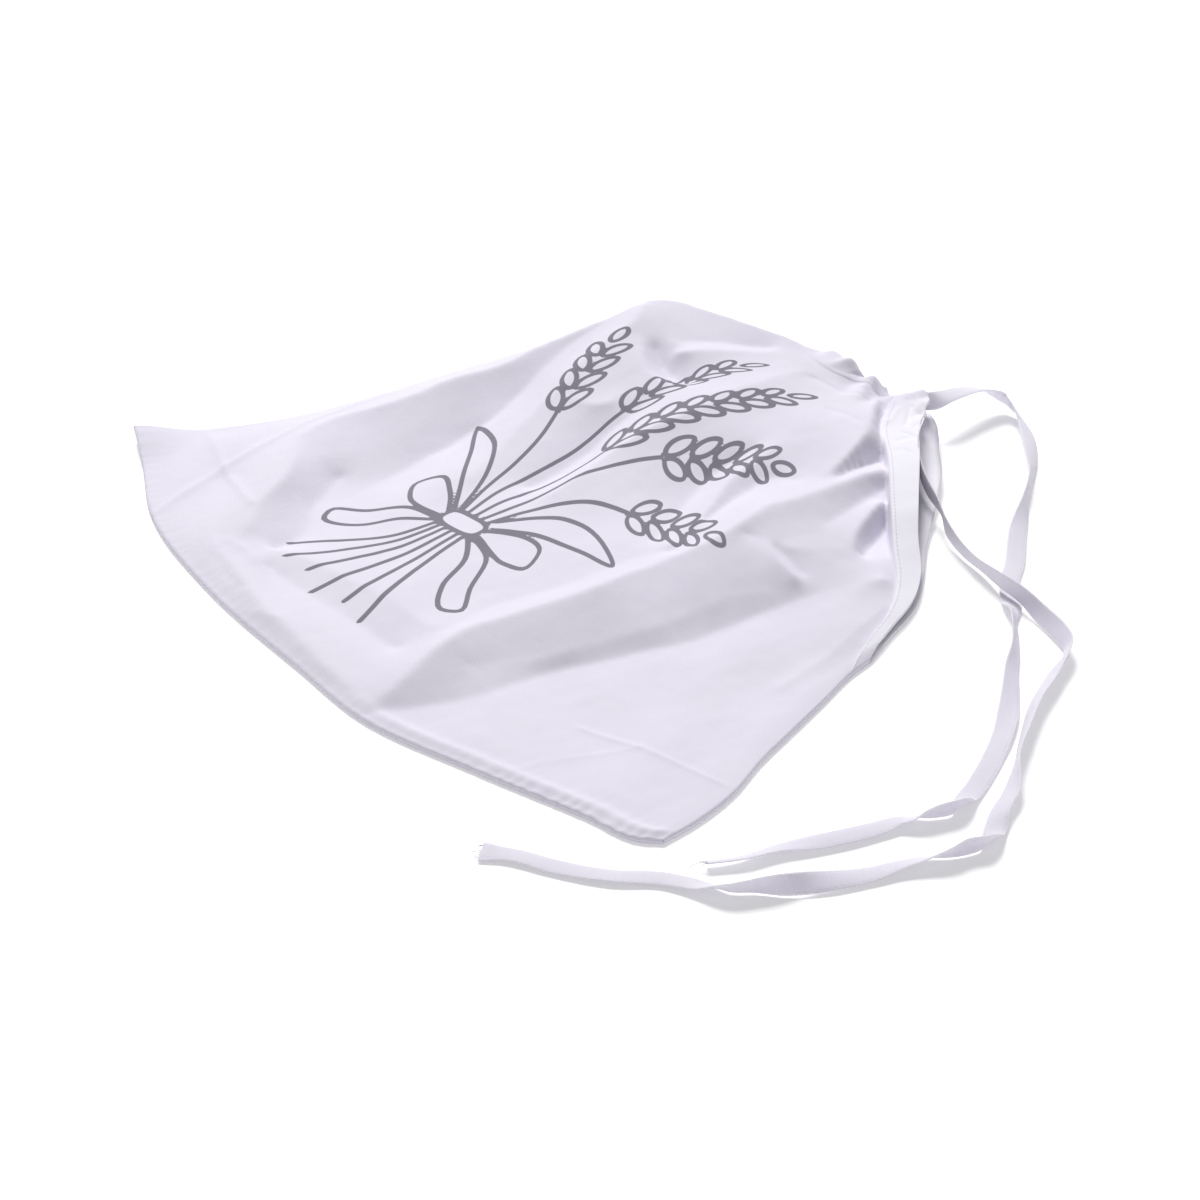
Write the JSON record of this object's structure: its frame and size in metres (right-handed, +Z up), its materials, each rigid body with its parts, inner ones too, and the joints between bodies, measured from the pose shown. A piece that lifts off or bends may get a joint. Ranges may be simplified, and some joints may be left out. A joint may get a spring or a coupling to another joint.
{
  "type": "drawstring bread bag",
  "caption": "Empty flat cotton drawstring bag lying in soft folds, its mouth half gathered and its loose tie ends trailing beside it.",
  "frame": {"origin": "on the table, under the middle of the bag's outline without its ties", "axes": "+X along the sewn bottom edge, +Y from the bottom edge to the mouth, +Z up from the table"},
  "size_m": [0.4808, 0.4082, 0.0353],
  "materials": {
    "bag_cotton": "matt, plain weave",
    "tie_cotton": "matt, flat folded tape"
  },
  "bodies": {
    "root": {"bag_cloth": "bag_cotton", "tie_upper": "tie_cotton", "tie_lower": "tie_cotton"}
  },
  "joints": []
}
